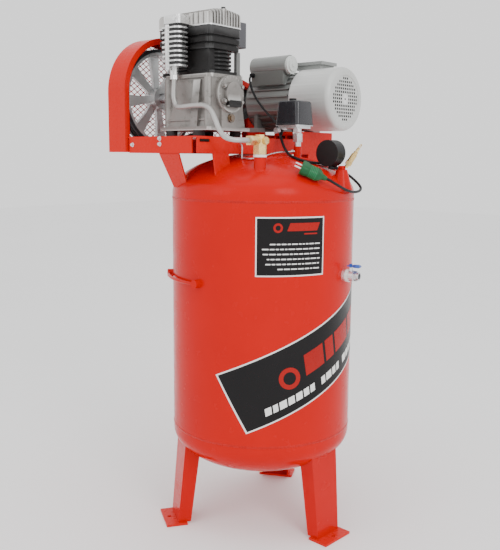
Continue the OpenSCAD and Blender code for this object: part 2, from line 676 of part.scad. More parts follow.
module outlet_lever() color([0.05, 0.25, 0.75])
  at_outlet() translate([0, 0, R + 21.3]) {
    difference() {
      sphere(r = 9, $fn = 40);
      translate([0, 0, -20]) cylinder(r = 6, h = 40, $fn = 32);
    }
    translate([-7.5, 0, 0]) rotate([0, -90, 0]) cylinder(r = 3, h = 19, $fn = 32);
    translate([-27.5, -6, -8]) cube([3, 12, 36]);
    translate([-26.5, 0, 0]) rotate([0, -90, 0]) cylinder(r = 5, h = 5, $fn = 6);
  }

module drain_valve() color(brass)
  translate([0, 0, zc_low - head_depth - 12]) mirror([0, 0, 1]) difference() {
    union() {
      cylinder(r = 12, h = 8, $fn = 6);
      translate([0, 0, 8]) cylinder(r = 9, h = 14, $fn = 40);
    }
    translate([0, 0, -1]) cylinder(r = 3, h = 6, $fn = 32);
    translate([0, 0, 9]) cylinder(r = 4.05, h = 20, $fn = 32);
  }
module drain_knob() color(brass)
  translate([0, 0, zc_low - head_depth - 12]) mirror([0, 0, 1]) {
    translate([0, 0, 9.5]) cylinder(r = 4, h = 14, $fn = 32);
    translate([0, 0, 23]) cylinder(r = 9, h = 7, $fn = 40);
  }

// Direction of a route at one of its points.
function unit(v) = v / norm(v);
function heading(p, i) = unit(p[min(i + 1, len(p) - 1)] - p[max(i - 1, 0)]);
// Sideways directions along a route, carried on without twisting.
function sideways(p, i, side) =
  i == len(p) ? [] :
  let (t = heading(p, i), s = unit(side - (side * t) * t)) concat([s], sideways(p, i + 1, s));
// A closed round tube through a route's own points.
module swept(p, r, n) {
  side = sideways(p, 0, [1, 0, 0.1]);
  ring = [for (i = [0:len(p) - 1]) let (across = cross(heading(p, i), side[i]))
    for (k = [0:n - 1]) p[i] + r * (cos(360 * k / n) * side[i] + sin(360 * k / n) * across)];
  last = (len(p) - 1) * n;
  walls = [for (i = [0:len(p) - 2], k = [0:n - 1]) let (a = i * n + k, b = i * n + (k + 1) % n)
    each [[a, a + n, b + n], [a, b + n, b]]];
  polyhedron(ring, concat([[for (k = [0:n - 1]) k]], [[for (k = [n - 1:-1:0]) last + k]], walls));
}

// Power cord: falls from the switch, crosses the dome and loops round the stub to its plug.
cord = [[44, 20, 1091], [49, 13, 1078], [58, 7, 1065], [68, 1, 1053], [80, -6, 1042], [94, -13, 1032],
  [110, -21, 1025], [128, -28, 1020], [145, -31, 1015.5], [158, -27, 1012], [167, -17, 1009],
  [171, -2, 1007], [172, 15, 1006.5], [172, 32, 1006], [172, 49, 1004.5], [173, 66, 1001.5],
  [176, 83, 997.5], [181, 100, 991], [188, 116, 982.5], [198, 129, 972], [210, 137, 960],
  [221, 139, 950], [231, 134, 942], [239, 121, 936], [247, 100, 933], [254, 76, 932], [259, 50, 933],
  [262, 26, 937], [262, 4, 943], [262, -16, 950], [260, -33, 957], [255, -46, 964], [248, -52, 968]];
// Lead from the capacitor box to the switch.
cable = [[-127, 104, 1255], [-127, 94, 1253], [-125, 86, 1244], [-119, 82, 1228], [-107, 79, 1206],
  [-90, 76, 1185], [-70, 71, 1166], [-48, 65, 1149], [-26, 58, 1135], [-4, 50, 1122], [14, 40, 1111],
  [27, 28, 1101], [35, 14, 1094]];
module mains_cord() color(black) swept(cord, 3.6, 8);
module mains_plug() color([0.05, 0.45, 0.2])
  translate([248, -52, 968]) rotate([0, 0, 221]) rotate([0, 65.5, 0]) rotate([0, 0, -32]) {
    cylinder(r1 = 7, r2 = 11, h = 16, $fn = 32);
    translate([0, 0, 16]) linear_extrude(height = 54) pump_plan(-14, 14, -20, 20, 11);
    for (s = [-1, 1]) translate([0, s * 8, 70]) cylinder(r = 2.4, h = 17, $fn = 20);
  }

tank_shell();
tank_head_top();
tank_head_bottom();
leg_a();
leg_b();
leg_c();
foot_plates();
deck();
deck_struts();
motor_rails();
guard_inner();
guard_rim();
guard_mesh();
grab_bar();
flywheel();
crankshaft();
pistons_front();
pistons_rear();
crankcase();
front_cover();
sight_glass();
pump_feet();
cylinder_block();
valve_plate();
cylinder_head();
pump_bolts();
aftercooler();
air_filter();
breather_pipe();
delivery_pipe();
v_belt();
motor_body();
end_shield();
fan_cover();
motor_fan();
motor_shaft();
motor_pulley();
capacitor_box();
capacitor_cap();
terminal_box();
check_valve();
check_disc();
unloader_tube();
switch_riser();
switch_base();
switch_cover();
switch_knob();
motor_cable();
gauge_stub();
gauge_case();
gauge_dial();
gauge_needle();
safety_valve();
safety_ring();
outlet_valve();
outlet_lever();
drain_valve();
drain_knob();
mains_cord();
mains_plug();
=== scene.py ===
import json
import math
import random

import bmesh
import bpy
from mathutils import Matrix, Vector


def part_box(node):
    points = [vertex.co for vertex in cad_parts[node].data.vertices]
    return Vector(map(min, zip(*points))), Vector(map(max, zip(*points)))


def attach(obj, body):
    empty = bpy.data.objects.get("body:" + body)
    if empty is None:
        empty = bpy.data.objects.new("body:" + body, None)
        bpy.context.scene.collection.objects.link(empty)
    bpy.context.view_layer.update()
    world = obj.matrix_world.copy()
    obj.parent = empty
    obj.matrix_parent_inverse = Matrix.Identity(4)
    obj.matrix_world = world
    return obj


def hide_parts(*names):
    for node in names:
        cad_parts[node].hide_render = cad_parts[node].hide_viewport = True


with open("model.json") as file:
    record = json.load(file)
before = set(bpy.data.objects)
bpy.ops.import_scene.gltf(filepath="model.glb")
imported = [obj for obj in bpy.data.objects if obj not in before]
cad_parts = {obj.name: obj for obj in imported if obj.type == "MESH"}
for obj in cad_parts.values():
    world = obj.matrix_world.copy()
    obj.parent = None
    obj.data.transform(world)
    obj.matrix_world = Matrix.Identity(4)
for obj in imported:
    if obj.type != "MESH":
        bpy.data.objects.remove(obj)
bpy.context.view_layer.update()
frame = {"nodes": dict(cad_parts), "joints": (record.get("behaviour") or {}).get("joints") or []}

NODES = frame["nodes"]
JOINTS = {j["name"]: j for j in frame["joints"]}
RNG = random.Random(7)

WORLD_LIGHT = 1.35
FLOOR_HALF = 12

# How far each layer of a decal stands off the shell, in metres, and the sides of its plain rings.
BORDER_LIFT, FACE_LIFT, BLOCK_LIFT, PRINT_LIFT, RING_LIFT = 0.0004, 0.0007, 0.0009, 0.0010, 0.0011
RING_STEPS = 24

# Driving sizes, in metres, the same as the frame's.
TANK_R = 0.250
SEAM_LOW, SEAM_TOP = 0.280, 0.911
RIM_LOW, RIM_TOP = 0.262, 0.924
HEAD_DEPTH = 0.108

# Where added pieces meet the frame: the outlet valve and its lever, the check valve, the switch's riser, the ends
# of the aftercooler's fins, and the two rounds of the guard's outline as (y, z, radius).
OUTLET_TURN = math.radians(8)
OUTLET_WAY = Vector((math.cos(OUTLET_TURN), math.sin(OUTLET_TURN), 0))
OUTLET_Z = 0.715
LEVER_Z = 0.741
VALVE_X, VALVE_Y = 0.113, -0.151
RISER_X, RISER_Y = 0.085, 0.042
COOLER_LOW, COOLER_HIGH = 1.2462, 1.3498
GUARD_ROUNDS = ((-0.150, 1.188, 0.150), (0.200, 1.183, 0.060))


# ---------------------------------------------------------------- camera

def make_camera():
    """The photograph's viewpoint: turned 39.4 degrees round the tank and looking slightly down."""
    turn, pitch, yaw, roll = (math.radians(x) for x in (39.44, 8.80, -0.93, 0.44))
    back = Vector((math.sin(turn), -math.cos(turn), 0))
    right = Vector((math.cos(turn), math.sin(turn), 0))
    flat = -back * math.cos(yaw) + right * math.sin(yaw)
    side = right * math.cos(yaw) + back * math.sin(yaw)
    ahead = flat * math.cos(pitch) + Vector((0, 0, -1)) * math.sin(pitch)
    up = side.cross(ahead)
    x_axis = side * math.cos(roll) + up * math.sin(roll)
    y_axis = up * math.cos(roll) - side * math.sin(roll)
    data = bpy.data.cameras.new("Camera")
    data.lens = 49.94
    data.sensor_width = 36.0
    data.clip_end = 50
    cam = bpy.data.objects.new("Camera", data)
    bpy.context.scene.collection.objects.link(cam)
    place = Matrix((x_axis, y_axis, -ahead)).transposed().to_4x4()
    distance, height = 2.124, 1.021
    place.translation = back * distance + Vector((0, 0, height))
    cam.matrix_world = place
    bpy.context.scene.camera = cam


# ---------------------------------------------------------------- materials

def new_material(name):
    mat = bpy.data.materials.new(name)
    mat.use_nodes = True
    tree = mat.node_tree
    shader = tree.nodes["Principled BSDF"]
    return mat, tree, shader


def noise_node(tree, coord, scale, detail=4.0, rough=0.55, stretch=None):
    """A noise texture on the object's own coordinates, stretched along an axis if asked."""
    source = coord.outputs["Object"]
    if stretch:
        mapping = tree.nodes.new("ShaderNodeMapping")
        mapping.inputs["Scale"].default_value = stretch
        tree.links.new(source, mapping.inputs["Vector"])
        source = mapping.outputs["Vector"]
    node = tree.nodes.new("ShaderNodeTexNoise")
    node.inputs["Scale"].default_value = scale
    node.inputs["Detail"].default_value = detail
    node.inputs["Roughness"].default_value = rough
    tree.links.new(source, node.inputs["Vector"])
    return node.outputs["Fac"]


def ranged(tree, value, low, high, to_low=0.0, to_high=1.0):
    node = tree.nodes.new("ShaderNodeMapRange")
    node.inputs["From Min"].default_value = low
    node.inputs["From Max"].default_value = high
    node.inputs["To Min"].default_value = to_low
    node.inputs["To Max"].default_value = to_high
    tree.links.new(value, node.inputs["Value"])
    return node.outputs["Result"]


def blended(tree, factor, first, second):
    """Mixes two colours; each is a socket or three numbers."""
    node = tree.nodes.new("ShaderNodeMix")
    node.data_type = "RGBA"
    tree.links.new(factor, node.inputs["Factor"])
    for value, key in ((first, "A"), (second, "B")):
        socket = [s for s in node.inputs if s.name == key and s.type == "RGBA"][0]
        if isinstance(value, (tuple, list)):
            socket.default_value = (*value, 1)
        else:
            tree.links.new(value, socket)
    return [s for s in node.outputs if s.type == "RGBA"][0]


def shade(color, k):
    return tuple(max(0.0, min(1.0, c * k)) for c in color)


def surface(name, color, rough=0.4, metal=0.0, coat=0.0, tone=0.12, patch=6.0, grain=300.0,
            bump=0.05, depth=0.001, dirt=None, dirt_part=0.0, edge=None, stretch=None, specks=None,
            gloss=0.5):
    """A finish with patchy tone, uneven gloss, surface grain, settled dirt and worn edges."""
    spread, edge_at = 0.08, 0.56
    mat, tree, shader = new_material(name)
    coord = tree.nodes.new("ShaderNodeTexCoord")
    patches = noise_node(tree, coord, patch, 5.0)
    tones = ranged(tree, patches, 0.32, 0.68)
    col = blended(tree, tones, shade(color, 1 - tone), shade(color, 1 + tone))
    fine = noise_node(tree, coord, grain, 3.0, 0.6, stretch)
    if specks:
        col = blended(tree, ranged(tree, fine, 0.60, 0.74), col, specks)
    rough_value = ranged(tree, noise_node(tree, coord, patch * 7, 4.0), 0.3, 0.7,
                         max(0.03, rough - spread), min(1, rough + spread))
    if dirt:
        flecks = noise_node(tree, coord, patch * 3.1, 8.0, 0.65)
        mask = ranged(tree, flecks, 0.66 - dirt_part, 0.86 - dirt_part)
        col = blended(tree, mask, col, dirt)
    if edge:
        geometry = tree.nodes.new("ShaderNodeNewGeometry")
        worn = ranged(tree, geometry.outputs["Pointiness"], edge_at, edge_at + 0.05)
        col = blended(tree, worn, col, edge)
    tree.links.new(col, shader.inputs["Base Color"])
    tree.links.new(rough_value, shader.inputs["Roughness"])
    shader.inputs["Metallic"].default_value = metal
    shader.inputs["Specular IOR Level"].default_value = gloss
    shader.inputs["Coat Weight"].default_value = coat
    shader.inputs["Coat Roughness"].default_value = 0.06
    bumps = tree.nodes.new("ShaderNodeBump")
    bumps.inputs["Strength"].default_value = bump
    bumps.inputs["Distance"].default_value = depth
    tree.links.new(fine, bumps.inputs["Height"])
    tree.links.new(bumps.outputs["Normal"], shader.inputs["Normal"])
    return mat


def flywheel_finish():
    """Bare cast aluminium in the middle, dark enamel on the rim."""
    mat = surface("flywheel_cast", (0.60, 0.61, 0.61), rough=0.38, metal=0.75, grain=500, bump=0.25)
    tree = mat.node_tree
    shader = tree.nodes["Principled BSDF"]
    link = shader.inputs["Base Color"].links[0]
    cast = link.from_socket
    coord = tree.nodes.new("ShaderNodeTexCoord")
    split = tree.nodes.new("ShaderNodeSeparateXYZ")
    tree.links.new(coord.outputs["Object"], split.inputs["Vector"])
    axle = JOINTS["crank_spin"]["pos_m"]
    square_sum = None
    for part, centre in (("Y", axle[1]), ("Z", axle[2])):
        less = tree.nodes.new("ShaderNodeMath")
        less.operation = "SUBTRACT"
        less.inputs[1].default_value = centre
        tree.links.new(split.outputs[part], less.inputs[0])
        power = tree.nodes.new("ShaderNodeMath")
        power.operation = "MULTIPLY"
        tree.links.new(less.outputs[0], power.inputs[0])
        tree.links.new(less.outputs[0], power.inputs[1])
        if square_sum is None:
            square_sum = power.outputs[0]
        else:
            total = tree.nodes.new("ShaderNodeMath")
            total.operation = "ADD"
            tree.links.new(square_sum, total.inputs[0])
            tree.links.new(power.outputs[0], total.inputs[1])
            square_sum = total.outputs[0]
    cast_end, enamel_start = 0.1215, 0.1240
    rim = ranged(tree, square_sum, cast_end ** 2, enamel_start ** 2)
    tree.links.new(blended(tree, rim, cast, (0.05, 0.05, 0.055)), shader.inputs["Base Color"])
    return mat


def cover_finish():
    """Silver paint on the fan cover's outside; the inside of its sheet and its holes' edges are near black as
    painted shade, so the holes read dark.
    """
    mat = surface("fan_cover_silver_hole_shade", (0.53, 0.535, 0.52), rough=0.36, metal=0.1, coat=0.1, tone=0.05,
                  patch=7, grain=700, bump=0.08, edge=(0.72, 0.72, 0.71))
    tree = mat.node_tree
    shader = tree.nodes["Principled BSDF"]
    silver = shader.inputs["Base Color"].links[0].from_socket
    coord = tree.nodes.new("ShaderNodeTexCoord")
    low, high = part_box("fan_cover")
    shift = tree.nodes.new("ShaderNodeVectorMath")
    shift.operation = "SUBTRACT"
    shift.inputs[1].default_value = (0, (low.y + high.y) / 2, (low.z + high.z) / 2)
    tree.links.new(coord.outputs["Object"], shift.inputs[0])
    split = tree.nodes.new("ShaderNodeSeparateXYZ")
    tree.links.new(shift.outputs["Vector"], split.inputs["Vector"])
    flat = tree.nodes.new("ShaderNodeVectorMath")
    flat.operation = "MULTIPLY"
    flat.inputs[1].default_value = (0, 1, 1)
    tree.links.new(shift.outputs["Vector"], flat.inputs[0])
    radius = tree.nodes.new("ShaderNodeVectorMath")
    radius.operation = "LENGTH"
    tree.links.new(flat.outputs["Vector"], radius.inputs[0])
    # Painted shade: the back of the sheet and the walls of its holes take this near black, so the holes read
    # dark.
    dark = (0.012, 0.012, 0.012)
    face = high.x - 0.003
    front = ranged(tree, split.outputs["X"], face - 0.0006, face - 0.0003)
    recess_painted_shade = blended(tree, front, dark, silver)
    bend = 0.014
    both = tree.nodes.new("ShaderNodeCombineXYZ")
    tree.links.new(split.outputs["X"], both.inputs["X"])
    tree.links.new(radius.outputs["Value"], both.inputs["Y"])
    reach = tree.nodes.new("ShaderNodeVectorMath")
    reach.operation = "SUBTRACT"
    reach.inputs[1].default_value = (high.x - bend, (high.z - low.z) / 2 - bend, 0)
    tree.links.new(both.outputs["Vector"], reach.inputs[0])
    past = tree.nodes.new("ShaderNodeVectorMath")
    past.operation = "MAXIMUM"
    past.inputs[1].default_value = (0, 0, 0)
    tree.links.new(reach.outputs["Vector"], past.inputs[0])
    sheet = tree.nodes.new("ShaderNodeVectorMath")
    sheet.operation = "LENGTH"
    tree.links.new(past.outputs["Vector"], sheet.inputs[0])
    outside = blended(tree, ranged(tree, sheet.outputs["Value"], bend - 0.0014, bend - 0.0010), dark, silver)
    holes_end = 0.0660
    rim = ranged(tree, radius.outputs["Value"], holes_end, 0.0663)
    tree.links.new(blended(tree, rim, recess_painted_shade, outside), shader.inputs["Base Color"])
    return mat


def make_finishes():
    dust = (0.42, 0.38, 0.33)
    red = (0.54, 0.003, 0.0015)
    worn_red = (0.60, 0.012, 0.006)
    f = {}
    f["red"] = surface("red_enamel", red, rough=0.22, tone=0.06, patch=3.5, grain=230, gloss=0.12,
                       bump=0.05, depth=0.0006)
    f["red_deck"] = surface("red_enamel_deck", shade(red, 0.97), rough=0.28, tone=0.09, patch=9,
                            grain=260, bump=0.07, dirt=(0.32, 0.006, 0.004), dirt_part=0.10, gloss=0.12,
                            edge=worn_red)
    f["red_weld"] = surface("red_enamel_weld", shade(red, 0.9), rough=0.3, tone=0.12, patch=40, grain=420,
                            bump=0.5, depth=0.002, gloss=0.2)
    f["cast"] = surface("cast_aluminium", (0.27, 0.255, 0.24), rough=0.40, metal=0.55, tone=0.18,
                        patch=14, grain=620, bump=0.35, dirt=(0.11, 0.10, 0.09), dirt_part=0.10,
                        edge=(0.55, 0.54, 0.52))
    f["bright"] = surface("bright_aluminium", (0.76, 0.76, 0.75), rough=0.28, metal=0.9, tone=0.10,
                          patch=18, grain=900, bump=0.15, edge=(0.9, 0.9, 0.9))
    f["pipe"] = surface("drawn_aluminium", (0.42, 0.41, 0.395), rough=0.36, metal=0.45, tone=0.08,
                        patch=22, grain=700, bump=0.1)
    f["iron"] = surface("black_cast_iron", (0.009, 0.008, 0.008), rough=0.42, tone=0.3, gloss=0.25,
                        patch=16, grain=560, bump=0.45, dirt=(0.022, 0.020, 0.018), dirt_part=0.10,
                        edge=(0.05, 0.05, 0.05))
    f["filter"] = surface("filter_plastic", (0.018, 0.020, 0.022), rough=0.45, gloss=0.3, tone=0.12,
                          patch=15, grain=800, bump=0.25, edge=(0.10, 0.10, 0.11))
    f["breather"] = surface("grey_pipe", (0.16, 0.16, 0.155), rough=0.4, metal=0.3, tone=0.1, patch=20,
                            grain=600, bump=0.1)
    f["motor"] = surface("motor_enamel", (0.118, 0.124, 0.116), rough=0.36, coat=0.1, tone=0.1, patch=9,
                         grain=420, bump=0.18, dirt=(0.075, 0.075, 0.07), dirt_part=0.09,
                         edge=(0.26, 0.27, 0.26))
    f["shield"] = surface("end_shield_enamel", (0.12, 0.125, 0.12), rough=0.42, coat=0.2, tone=0.14,
                          patch=12, grain=480, bump=0.3)
    f["cover"] = cover_finish()
    f["cap"] = surface("cap_plastic", (0.62, 0.64, 0.62), rough=0.35, tone=0.05, patch=30, grain=900,
                       bump=0.05)
    f["switch"] = surface("switch_plastic", (0.016, 0.016, 0.020), rough=0.22, coat=0.15, tone=0.08,
                          patch=18, grain=900, bump=0.06)
    f["black"] = surface("black_plastic", (0.008, 0.008, 0.009), rough=0.38, gloss=0.25, tone=0.15,
                         patch=20, grain=900, bump=0.12)
    f["rubber"] = surface("cable_rubber", (0.007, 0.007, 0.008), rough=0.5, gloss=0.25, tone=0.2,
                          patch=30, grain=1400, bump=0.2, specks=(0.015, 0.015, 0.015))
    f["belt"] = surface("belt_rubber", (0.02, 0.02, 0.02), rough=0.75, tone=0.3, patch=26, grain=1500,
                        bump=0.6, dirt=(0.06, 0.06, 0.055), dirt_part=0.14)
    f["brass"] = surface("brass", (0.80, 0.57, 0.24), rough=0.30, metal=0.95, tone=0.16, patch=30,
                         grain=900, bump=0.3, dirt=(0.32, 0.21, 0.09), dirt_part=0.10,
                         edge=(0.85, 0.68, 0.36))
    f["zinc"] = surface("zinc_plate", (0.66, 0.67, 0.68), rough=0.30, metal=0.9, tone=0.12, patch=28,
                        grain=900, bump=0.15, edge=(0.88, 0.88, 0.9))
    f["steel"] = surface("turned_steel", (0.50, 0.50, 0.51), rough=0.3, metal=0.95, tone=0.1, patch=25,
                         grain=260, bump=0.12, stretch=(8, 1, 1))
    f["ring"] = surface("white_tape", (0.80, 0.80, 0.78), rough=0.6, tone=0.06, patch=60, grain=1400,
                        bump=0.3)
    f["green"] = surface("green_plug", (0.003, 0.085, 0.024), rough=0.38, gloss=0.3, tone=0.14, patch=24,
                         grain=900, bump=0.12, edge=(0.02, 0.28, 0.10))
    f["blue"] = surface("blue_dip", (0.008, 0.075, 0.42), rough=0.3, coat=0.4, tone=0.1, patch=30,
                        grain=700, bump=0.1)
    f["decal_black"] = surface("decal_black", (0.006, 0.005, 0.0055), rough=0.28, tone=0.15, patch=4,
                               grain=500, bump=0.02, gloss=0.2)
    f["decal_white"] = surface("decal_white", (0.82, 0.82, 0.80), rough=0.3, coat=0.3, tone=0.03,
                               patch=10, grain=600, bump=0.02)
    f["decal_red"] = surface("decal_red", (0.36, 0.006, 0.004), rough=0.3, gloss=0.2, tone=0.06, patch=10,
                             grain=600, bump=0.02)
    f["dial"] = surface("dial_white", (0.84, 0.84, 0.82), rough=0.4, tone=0.03, patch=40, grain=900,
                        bump=0.02)
    f["oil"] = surface("sight_oil", (0.10, 0.055, 0.02), rough=0.1, coat=1.0, tone=0.2, patch=60,
                       grain=400, bump=0.02)
    f["fan"] = surface("fan_plastic", (0.010, 0.010, 0.010), rough=0.6, gloss=0.2, tone=0.15, patch=20,
                       grain=700, bump=0.1)
    f["flywheel"] = flywheel_finish()
    f["dusty"] = surface("rubber_foot", (0.02, 0.02, 0.02), rough=0.7, tone=0.3, patch=30, grain=800,
                         bump=0.4, dirt=dust, dirt_part=0.0)
    return f


# ---------------------------------------------------------------- mesh helpers

def piece(name, mesh, finish, body="frame", smooth=40):
    """Links a mesh as a piece with a finish, smooth below the given angle, and rides it on a body."""
    obj = bpy.data.objects.new(name, mesh)
    bpy.context.scene.collection.objects.link(obj)
    mesh.materials.clear()
    mesh.materials.append(FINISH[finish])
    soften(obj, smooth)
    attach(obj, body)
    return obj


def soften(obj, angle):
    """Smooth shading with edges sharper than the angle left crisp."""
    mesh = obj.data
    for poly in mesh.polygons:
        poly.use_smooth = True
    bm = bmesh.new()
    bm.from_mesh(mesh)
    limit = math.radians(angle)
    sharp = [e.index for e in bm.edges if len(e.link_faces) != 2 or e.calc_face_angle(4) > limit]
    bm.free()
    flags = mesh.attributes.get("sharp_edge") or mesh.attributes.new("sharp_edge", "BOOLEAN", "EDGE")
    wanted = set(sharp)
    flags.data.foreach_set("value", [i in wanted for i in range(len(mesh.edges))])


def bevel(obj, width):
    """Rounds the CAD node's sharp edges, by a modifier."""
    mod = obj.modifiers.new("Bevel", "BEVEL")
    mod.width = width
    mod.segments = 2
    mod.limit_method = "ANGLE"
    mod.angle_limit = math.radians(32)
    mod.use_clamp_overlap = True
    mod.harden_normals = False


def build(verts, faces, name="shape"):
    mesh = bpy.data.meshes.new(name)
    mesh.from_pydata([tuple(v) for v in verts], [], faces)
    mesh.validate()
    return mesh


def lathe(profile, place=Matrix(), count=96, closed=False, name="lathe"):
    """Turns (radius, height) points round the Z axis of place."""
    verts, faces, n = [], [], len(profile)
    for i in range(count):
        a = 2 * math.pi * i / count
        for r, z in profile:
            verts.append(place @ Vector((r * math.cos(a), r * math.sin(a), z)))
    spans = n if closed else n - 1
    for i in range(count):
        j = (i + 1) % count
        for k in range(spans):
            m = (k + 1) % n
            faces.append((i * n + k, j * n + k, j * n + m, i * n + m))
    mesh = build(verts, faces, name)
    bm = bmesh.new()
    bm.from_mesh(mesh)
    bmesh.ops.remove_doubles(bm, verts=bm.verts, dist=1e-6)
    bmesh.ops.recalc_face_normals(bm, faces=bm.faces)
    bm.to_mesh(mesh)
    bm.free()
    return mesh


def loft(rings):
    """Joins rings of equal point count into a skin, closed at both ends."""
    n = len(rings[0])
    verts = [p for ring in rings for p in ring]
    faces = []
    for i in range(len(rings) - 1):
        for k in range(n):
            m = (k + 1) % n
            faces.append((i * n + k, i * n + m, (i + 1) * n + m, (i + 1) * n + k))
    faces.append(tuple(reversed(range(n))))
    faces.append(tuple((len(rings) - 1) * n + k for k in range(n)))
    mesh = build(verts, faces, "loft")
    bm = bmesh.new()
    bm.from_mesh(mesh)
    bmesh.ops.recalc_face_normals(bm, faces=bm.faces)
    bm.to_mesh(mesh)
    bm.free()
    return mesh


def join_meshes(meshes, name):
    """One mesh that holds all the given ones."""
    bm = bmesh.new()
    for m in meshes:
        bm.from_mesh(m)
    out = bpy.data.meshes.new(name)
    bm.to_mesh(out)
    bm.free()
    return out


def smooth_path(points, per_span=8):
    """Catmull-Rom curve through given points."""
    pts = [Vector(p) for p in points]
    pts = [pts[0] * 2 - pts[1]] + pts + [pts[-1] * 2 - pts[-2]]
    out = []
    for i in range(1, len(pts) - 2):
        a, b, c, d = pts[i - 1:i + 3]
        for s in range(per_span):
            t = s / per_span
            out.append(0.5 * ((2 * b) + (c - a) * t + (2 * a - 5 * b + 4 * c - d) * t * t
                              + (3 * b - a - 3 * c + d) * t ** 3))
    out.append(pts[-2])
    return out


def tube(name, points, radius, finish, per_span=8):
    """A round tube as a curve of one open spline."""
    path = smooth_path(points, per_span)
    data = bpy.data.curves.new(name, "CURVE")
    data.dimensions = "3D"
    data.bevel_depth = radius
    data.bevel_resolution = 5
    data.use_fill_caps = True
    spline = data.splines.new("POLY")
    spline.points.add(len(path) - 1)
    for p, v in zip(spline.points, path):
        p.co = (*v, 1)
    spline.use_smooth = True
    data.materials.append(FINISH[finish])
    obj = bpy.data.objects.new(name, data)
    bpy.context.scene.collection.objects.link(obj)
    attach(obj, "frame")
    length = sum((b - a).length for a, b in zip(path, path[1:]))
    return obj, path, length


def mm(points):
    """Points given in millimetres, as vectors in metres."""
    return [Vector(p) / 1000 for p in points]


def turned(origin, direction):
    """A frame at origin, in metres, with its Z axis along direction."""
    place = Vector(direction).to_track_quat("Z", "Y").to_matrix().to_4x4()
    place.translation = Vector(origin)
    return place


def hex_bolt(name, place, across, height, finish):
    """A hexagon head with a chamfered crown and a washer under it."""
    r = across / math.sqrt(3)
    rings = []
    for k, z in ((1.0, 0.0), (1.0, height * 0.75), (0.86, height)):
        ring = []
        for i in range(24):
            a = 2 * math.pi * i / 24
            hexed = r * math.cos(math.pi / 6) / math.cos((a % (math.pi / 3)) - math.pi / 6)
            ring.append(place @ Vector((hexed * k * math.cos(a), hexed * k * math.sin(a), z)))
        rings.append(ring)
    head = loft(rings)
    washer = lathe([(0, -0.0012), (r * 1.25, -0.0012), (r * 1.25, 0), (0, 0)], place, 32)
    return piece(name, join_meshes([head, washer], name), finish)


# ---------------------------------------------------------------- cords

CORD = [(44, 20, 1091), (49, 13, 1078), (58, 7, 1065), (68, 1, 1053), (80, -6, 1042), (94, -13, 1032),
        (110, -21, 1025), (128, -28, 1020), (145, -31, 1015.5), (158, -27, 1012), (167, -17, 1009),
        (171, -2, 1007), (172, 15, 1006.5), (172, 32, 1006), (172, 49, 1004.5), (173, 66, 1001.5),
        (176, 83, 997.5), (181, 100, 991), (188, 116, 982.5), (198, 129, 972), (210, 137, 960),
        (221, 139, 950), (231, 134, 942), (239, 121, 936), (247, 100, 933), (254, 76, 932), (259, 50, 933),
        (262, 26, 937), (262, 4, 943), (262, -16, 950), (260, -33, 957), (255, -46, 964), (248, -52, 968)]
MOTOR_CABLE = [(-127, 104, 1255), (-127, 94, 1253), (-125, 86, 1244), (-119, 82, 1228), (-107, 79, 1206),
               (-90, 76, 1185), (-70, 71, 1166), (-48, 65, 1149), (-26, 58, 1135), (-4, 50, 1122),
               (14, 40, 1111), (27, 28, 1101), (35, 14, 1094)]


def rounded_ring(place, w, d, r, z):
    """A rounded rectangle of points at height z of place."""
    steps = 6
    ring = []
    for cx, cy, start in ((1, 1, 0), (-1, 1, 90), (-1, -1, 180), (1, -1, 270)):
        for k in range(steps + 1):
            a = math.radians(start + 90 * k / steps)
            x = cx * (w / 2 - r) + r * math.cos(a)
            y = cy * (d / 2 - r) + r * math.sin(a)
            ring.append(place @ Vector((x, y, z)))
    return ring


def make_plug():
    """Moulded two-pin plug: wide ribbed grip, raised front rim, collar and tapered strain relief."""
    place = (Matrix.Translation((0.248, -0.052, 0.968)) @ Matrix.Rotation(math.radians(221), 4, "Z")
             @ Matrix.Rotation(math.radians(65.5), 4, "Y") @ Matrix.Rotation(math.radians(-32), 4, "Z"))
    rings = [rounded_ring(place, w, d, r, z) for w, d, r, z in (
        (0.0100, 0.0100, 0.0045, 0.0000), (0.0128, 0.0128, 0.0060, 0.0030), (0.0120, 0.0120, 0.0055, 0.0045),
        (0.0145, 0.0150, 0.0068, 0.0080), (0.0138, 0.0142, 0.0065, 0.0095), (0.0170, 0.0200, 0.0080, 0.0140),
        (0.0225, 0.0300, 0.0100, 0.0185), (0.0265, 0.0370, 0.0115, 0.0250), (0.0258, 0.0360, 0.0115, 0.0340),
        (0.0250, 0.0350, 0.0115, 0.0430), (0.0268, 0.0380, 0.0118, 0.0520), (0.0280, 0.0400, 0.0115, 0.0560),
        (0.0280, 0.0400, 0.0115, 0.0680), (0.0266, 0.0386, 0.0110, 0.0700))]
    grips = []
    for i in range(5):
        z = 0.029 + i * 0.0042
        grips.append(loft([rounded_ring(place, 0.0270 - abs(i - 2) * 0.0002, 0.0374, 0.0115, z + dz)
                           for dz in (0, 0.0016)]))
    pins = [lathe([(0, 0.070), (0.0024, 0.070), (0.0024, 0.0855), (0.0016, 0.087), (0, 0.087)],
                  place @ Matrix.Translation((0, s * 0.008, 0)), 20) for s in (-1, 1)]
    body = piece("plug_shell", join_meshes([loft(rings)] + grips, "plug_shell"), "green", smooth=50)
    prongs = piece("plug_pins", join_meshes(pins, "plug_pins"), "zinc")
    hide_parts("mains_plug")
    return body, prongs


def make_cords():
    shell, pins = make_plug()
    cord, path, length = tube("power_cord", mm(CORD), 0.0036, "rubber", per_span=6)
    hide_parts("mains_cord")
    lead, path, length = tube("motor_lead", mm(MOTOR_CABLE), 0.0032, "rubber", per_span=6)
    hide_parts("motor_cable")
    glands = (("cord_gland", CORD[0], (-0.35, 0.45, 0.82)), ("lead_gland", MOTOR_CABLE[0], (0, 1, 0)))
    for name, at, aim in glands:
        place = turned(Vector(at) / 1000, aim)
        sleeve = lathe([(0.0037, -0.012), (0.0048, -0.012), (0.0056, -0.006), (0.0070, 0.0), (0.0070, 0.006),
                        (0.0037, 0.006)], place, 32, closed=True)
        piece(name, sleeve, "black")


# ---------------------------------------------------------------- tank

